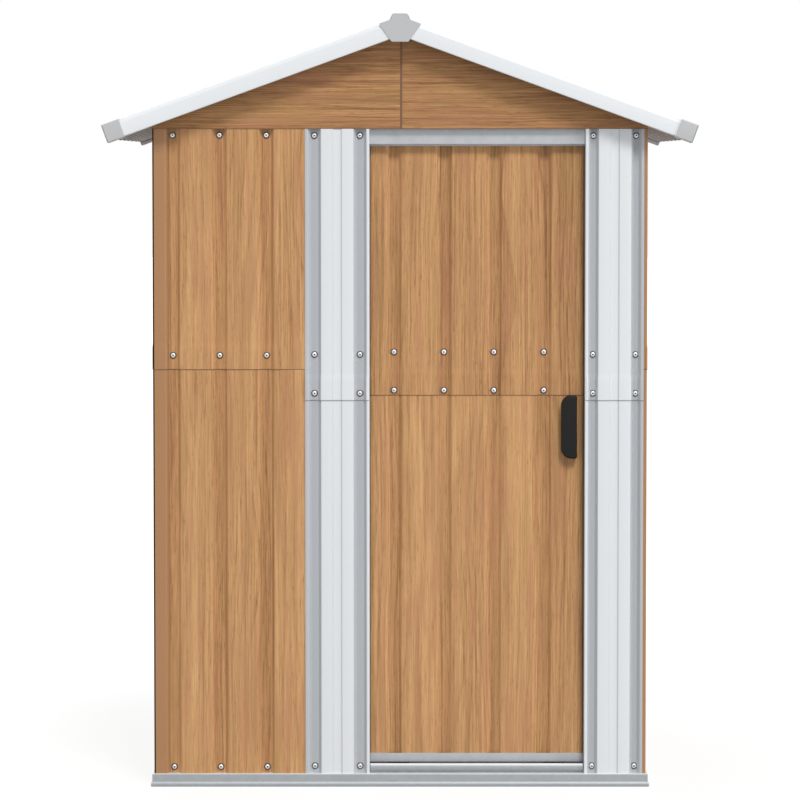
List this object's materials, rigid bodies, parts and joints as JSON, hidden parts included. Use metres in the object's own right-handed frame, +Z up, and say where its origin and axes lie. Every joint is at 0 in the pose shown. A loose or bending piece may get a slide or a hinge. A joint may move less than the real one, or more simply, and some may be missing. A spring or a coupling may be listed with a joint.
{
  "type": "metal storage shed",
  "caption": "Gable-roofed corrugated steel storage shed on formed base rails, with white door jambs and a ribbed sliding door that runs behind the front wall.",
  "frame": {"origin": "on the ground, under the middle of the roof's outline", "axes": "+Z up, the front with the door faces -Y, +X to the right seen from the front"},
  "size_m": [1.354, 0.975, 1.7701],
  "materials": {
    "wood_print": "satin",
    "white_coat": "satin",
    "galvanised": "satin",
    "grey_plastic": "matte",
    "black_plastic": "matte"
  },
  "bodies": {
    "shed": {"base_rail_front": "galvanised", "base_rail_rear": "galvanised", "base_rail_left": "galvanised", "base_rail_right": "galvanised", "front_wall_lower": "wood_print", "front_wall_upper": "wood_print", "left_jamb_lower": "white_coat", "left_jamb_upper": "white_coat", "right_jamb_lower": "white_coat", "right_jamb_upper": "white_coat", "left_wall_lower": "wood_print", "left_wall_upper": "wood_print", "right_wall_lower": "wood_print", "right_wall_upper": "wood_print", "rear_wall_lower": "wood_print", "rear_wall_upper": "wood_print", "door_top_track": "galvanised", "door_bottom_track": "galvanised", "side_top_rails": "galvanised", "rear_top_rail": "galvanised", "side_braces": "galvanised", "rear_brace": "galvanised", "front_gable_left": "wood_print", "front_gable_right": "wood_print", "rear_gable_left": "wood_print", "rear_gable_right": "wood_print", "roof_beams": "galvanised", "roof_sheet_left": "wood_print", "roof_sheet_right": "wood_print", "ridge_capping": "white_coat", "front_trim_left": "white_coat", "front_trim_right": "white_coat", "rear_trim_left": "white_coat", "rear_trim_right": "white_coat", "eave_end_caps": "grey_plastic", "ridge_end_caps": "grey_plastic"},
    "door": {"door_sheet_lower": "wood_print", "door_sheet_upper": "wood_print", "door_stiles": "galvanised", "door_top_rail": "galvanised", "door_bottom_rail": "galvanised", "door_brace": "galvanised", "door_glides": "black_plastic", "door_handle": "black_plastic"}
  },
  "joints": [
    {"name": "door_slide", "type": "slide", "parent": "shed", "child": "door", "axis": [-1, 0, 0], "range_m": [0, 0.42]}
  ]
}
